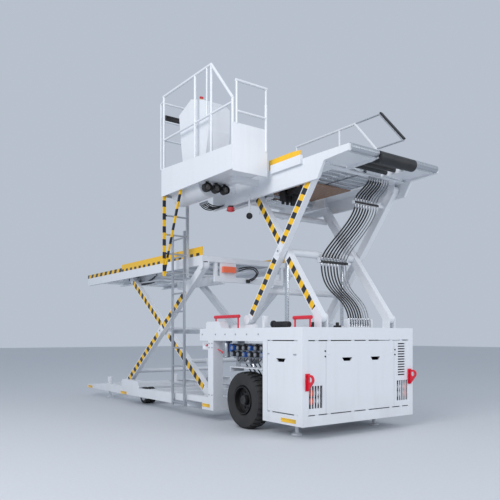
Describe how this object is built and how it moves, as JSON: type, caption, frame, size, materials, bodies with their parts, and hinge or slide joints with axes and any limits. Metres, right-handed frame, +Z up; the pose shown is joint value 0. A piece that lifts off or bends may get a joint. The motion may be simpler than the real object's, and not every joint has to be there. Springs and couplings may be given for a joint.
{
  "type": "aircraft cargo loader",
  "caption": "Self-propelled aircraft cargo loader with a rear scissor-lift platform, a front bridge on its own scissor lift, a side operator stand, steered wheels and jacks.",
  "frame": {"origin": "middle of the overall box, on the ground", "axes": "+X forward to the aircraft, +Y to the left, +Z up"},
  "size_m": [8.37, 2.7, 5.28],
  "materials": {
    "white_paint": "semi-gloss white paint",
    "yellow_paint": "signal yellow paint with black hazard stripes",
    "galvanised": "galvanised and bare steel",
    "chrome_rod": "hard chrome",
    "tyre_rubber": "black tyre rubber",
    "black_rubber": "black hose and roll rubber",
    "black_rim": "black painted wheel",
    "dark_metal": "dark painted casting",
    "red_paint": "red paint",
    "lamp_lens": "orange and clear lamp lenses",
    "plywood": "brown coated plywood",
    "valve_metal": "machined valve block",
    "black_plastic": "black plastic"
  },
  "bodies": {
    "chassis": {"rear_frame": "white_paint", "front_frame": "white_paint", "module_frame": "white_paint", "front_panel": "white_paint", "lamp_panel": "white_paint", "louvre_panel": "white_paint", "side_panels": "white_paint", "front_lamps": "lamp_lens", "tow_hooks": "red_paint", "engine_block": "dark_metal", "valve_block": "valve_metal", "mudguards": "white_paint", "front_axle": "dark_metal", "rear_axle": "dark_metal", "ladder_lower": "galvanised", "hose_low": "black_rubber", "safety_props": "red_paint"},
    "knuckle_r": {"knuckle_r": "dark_metal"},
    "knuckle_l": {"knuckle_l": "dark_metal"},
    "front_wheel_r": {"front_tyre_r": "tyre_rubber", "front_rim_r": "black_rim"},
    "front_wheel_l": {"front_tyre_l": "tyre_rubber", "front_rim_l": "black_rim"},
    "rear_wheels_r": {"rear_tyres_r": "tyre_rubber", "rear_rims_r": "white_paint"},
    "rear_wheels_l": {"rear_tyres_l": "tyre_rubber", "rear_rims_l": "white_paint"},
    "jack_fr": {"jack_fr": "white_paint"},
    "jack_fl": {"jack_fl": "white_paint"},
    "jack_rr": {"jack_rr": "white_paint"},
    "jack_rl": {"jack_rl": "white_paint"},
    "main_inner": {"main_leg_inner": "white_paint"},
    "main_outer": {"main_leg_outer": "white_paint"},
    "main_barrels": {"main_barrels": "white_paint"},
    "main_rods": {"main_rods": "chrome_rod"},
    "main_platform": {"main_frame": "white_paint", "main_rollers": "galvanised", "main_guides": "yellow_paint", "main_lamp": "lamp_lens"},
    "bridge_inner": {"bridge_leg_inner": "white_paint", "hose_mid": "black_rubber"},
    "bridge_outer": {"bridge_leg_outer": "white_paint", "hose_top": "black_rubber"},
    "bridge_barrels": {"bridge_barrels": "white_paint"},
    "bridge_rods": {"bridge_rods": "chrome_rod"},
    "bridge": {"bridge_frame": "white_paint", "bridge_panels": "plywood", "bridge_rollers": "galvanised", "bridge_rolls": "galvanised", "bridge_belt": "black_rubber", "bridge_guide": "yellow_paint", "bridge_rail": "white_paint", "operator_floor": "white_paint", "operator_rails": "white_paint", "operator_shield": "white_paint", "operator_console": "white_paint", "operator_tray": "white_paint", "ladder_upper": "galvanised"},
    "rail_slider": {"rail_slider": "galvanised", "guard_bumper": "black_rubber"}
  },
  "joints": [
    {"name": "main_lift", "type": "hinge", "parent": "chassis", "child": "main_inner", "pos_m": [0.855, 0.25, 0.4], "axis": [0, 1, 0], "range_deg": [-33, 21]},
    {"name": "main_crossing", "type": "hinge", "parent": "main_inner", "child": "main_outer", "pos_m": [-0.625, 0.25, 1.465], "axis": [0, 1, 0], "range_deg": [-43, 67]},
    {"name": "main_level", "type": "hinge", "parent": "main_outer", "child": "main_platform", "pos_m": [0.855, 0.25, 2.53], "axis": [0, 1, 0], "range_deg": [-34, 22]},
    {"name": "main_ram_swing", "type": "hinge", "parent": "chassis", "child": "main_barrels", "pos_m": [0.615, 0.25, 0.23], "axis": [0, 1, 0], "range_deg": [-32.64, 20.77]},
    {"name": "main_ram_stroke", "type": "slide", "parent": "main_barrels", "child": "main_rods", "axis": [-0.3783, 0, 0.9257], "range_m": [-0.16906, 0.10758]},
    {"name": "bridge_lift", "type": "hinge", "parent": "chassis", "child": "bridge_inner", "pos_m": [3.415, 0.25, 1.61], "axis": [0, 1, 0], "range_deg": [-38.5, 4], "deforming": ["hose_low", "hose_mid", "hose_top"]},
    {"name": "bridge_crossing", "type": "hinge", "parent": "bridge_inner", "child": "bridge_outer", "pos_m": [2.705, 0.25, 2.57], "axis": [0, 1, 0], "range_deg": [-9, 78]},
    {"name": "bridge_level", "type": "hinge", "parent": "bridge_outer", "child": "bridge", "pos_m": [3.415, 0.25, 3.53], "axis": [0, 1, 0], "range_deg": [-39.5, 5]},
    {"name": "bridge_ram_swing", "type": "hinge", "parent": "chassis", "child": "bridge_barrels", "pos_m": [2.565, 0.25, 0.52], "axis": [0, 1, 0], "range_deg": [-18.38, 1.91]},
    {"name": "bridge_ram_stroke", "type": "slide", "parent": "bridge_barrels", "child": "bridge_rods", "axis": [-0.0016, 0, 1], "range_m": [-0.66658, 0.06925]},
    {"name": "steer_r", "type": "hinge", "parent": "chassis", "child": "knuckle_r", "pos_m": [2.175, -0.67, 0.42], "axis": [0, 0, 1], "range_deg": [-35, 35]},
    {"name": "front_wheel_r_spin", "type": "hinge", "parent": "knuckle_r", "child": "front_wheel_r", "pos_m": [2.175, -0.72, 0.42], "axis": [0, 1, 0], "continuous": true},
    {"name": "rear_wheels_r_spin", "type": "hinge", "parent": "chassis", "child": "rear_wheels_r", "pos_m": [-1.665, -0.45, 0.165], "axis": [0, 1, 0], "continuous": true},
    {"name": "steer_l", "type": "hinge", "parent": "chassis", "child": "knuckle_l", "pos_m": [2.175, 1.17, 0.42], "axis": [0, 0, 1], "range_deg": [-35, 35]},
    {"name": "front_wheel_l_spin", "type": "hinge", "parent": "knuckle_l", "child": "front_wheel_l", "pos_m": [2.175, 1.22, 0.42], "axis": [0, 1, 0], "continuous": true},
    {"name": "rear_wheels_l_spin", "type": "hinge", "parent": "chassis", "child": "rear_wheels_l", "pos_m": [-1.665, 0.95, 0.165], "axis": [0, 1, 0], "continuous": true},
    {"name": "jack_fr_lift", "type": "slide", "parent": "chassis", "child": "jack_fr", "axis": [0, 0, 1], "range_m": [0, 0.12]},
    {"name": "jack_fl_lift", "type": "slide", "parent": "chassis", "child": "jack_fl", "axis": [0, 0, 1], "range_m": [0, 0.12]},
    {"name": "jack_rr_lift", "type": "slide", "parent": "chassis", "child": "jack_rr", "axis": [0, 0, 1], "range_m": [0, 0.12]},
    {"name": "jack_rl_lift", "type": "slide", "parent": "chassis", "child": "jack_rl", "axis": [0, 0, 1], "range_m": [0, 0.12]},
    {"name": "guard_slide", "type": "slide", "parent": "bridge", "child": "rail_slider", "axis": [1, 0, 0], "range_m": [-0.45, 0]}
  ],
  "couplings": [
    {"joint": "main_crossing", "follows": "main_lift", "ratio": -2},
    {"joint": "main_level", "follows": "main_lift", "ratio": 1},
    {"joint": "main_ram_swing", "follows": "main_lift", "ratio": 0.96959},
    {"joint": "main_ram_stroke", "follows": "main_lift", "m_per_rad": 0.28777},
    {"joint": "bridge_crossing", "follows": "bridge_lift", "ratio": -2},
    {"joint": "bridge_level", "follows": "bridge_lift", "ratio": 1},
    {"joint": "bridge_ram_swing", "follows": "bridge_lift", "ratio": 0.46799},
    {"joint": "bridge_ram_stroke", "follows": "bridge_lift", "m_per_rad": 0.97255},
    {"joint": "steer_l", "follows": "steer_r", "ratio": 1}
  ]
}
